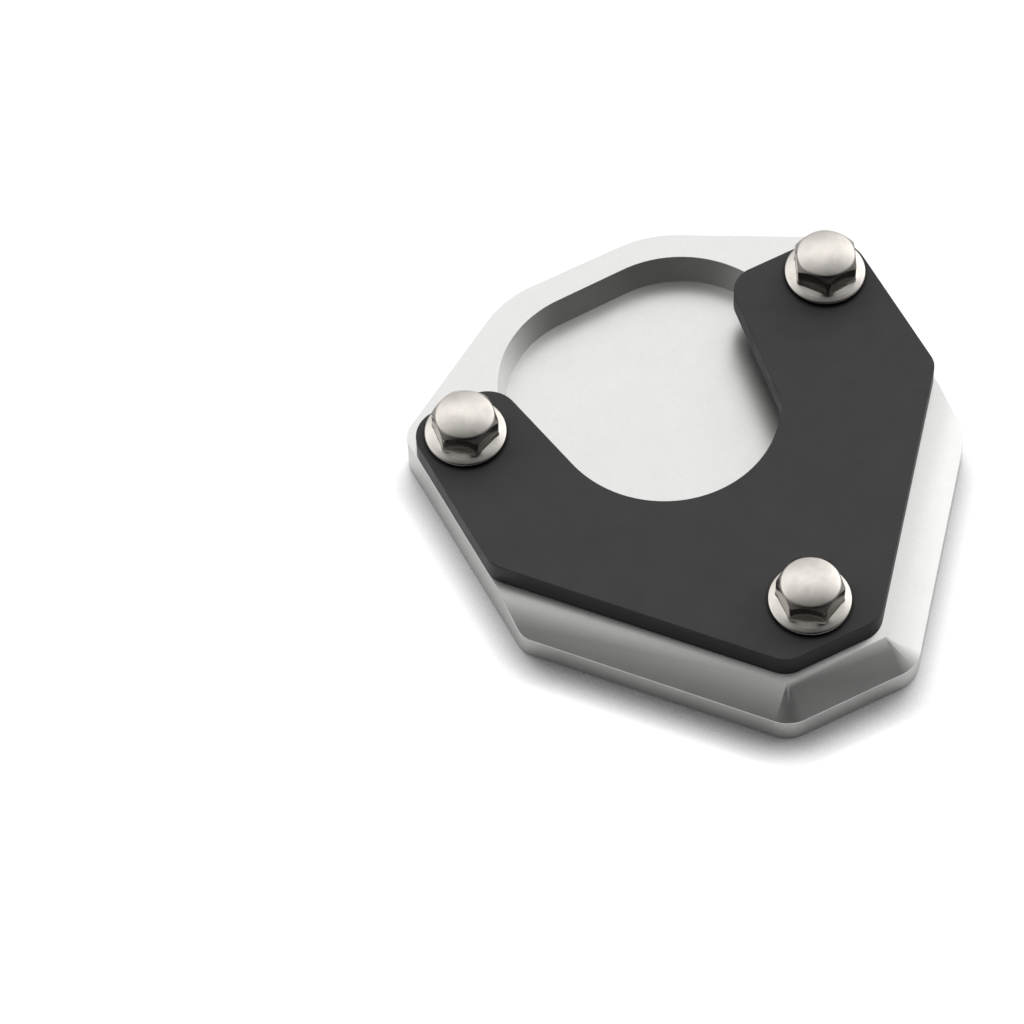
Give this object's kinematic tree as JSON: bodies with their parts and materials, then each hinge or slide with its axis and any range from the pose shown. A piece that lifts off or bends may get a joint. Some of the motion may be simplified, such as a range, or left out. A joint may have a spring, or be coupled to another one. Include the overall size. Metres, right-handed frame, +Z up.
{
  "type": "side stand foot enlarger",
  "caption": "Wide clamp-on foot for a motorcycle side stand: a pocketed light alloy base chamfered along its front, a dark C-shaped clamp plate and flange bolts",
  "frame": {"origin": "centre of the whole part's box, on the ground under the base", "axes": "+Z up from the ground; +X along the straight front edge, towards the side with the long chamfer; +Y from the front edge to the rear bolt"},
  "size_m": [0.0946, 0.0916, 0.0194],
  "materials": {
    "alloy": "fine blasted, clear anodised",
    "anodised": "matte black anodised",
    "bolt_metal": "polished nickel plate"
  },
  "bodies": {
    "root": {"base": "alloy", "clamp_plate": "anodised", "bolt_left": "bolt_metal", "bolt_rear": "bolt_metal", "bolt_front": "bolt_metal"}
  },
  "joints": []
}
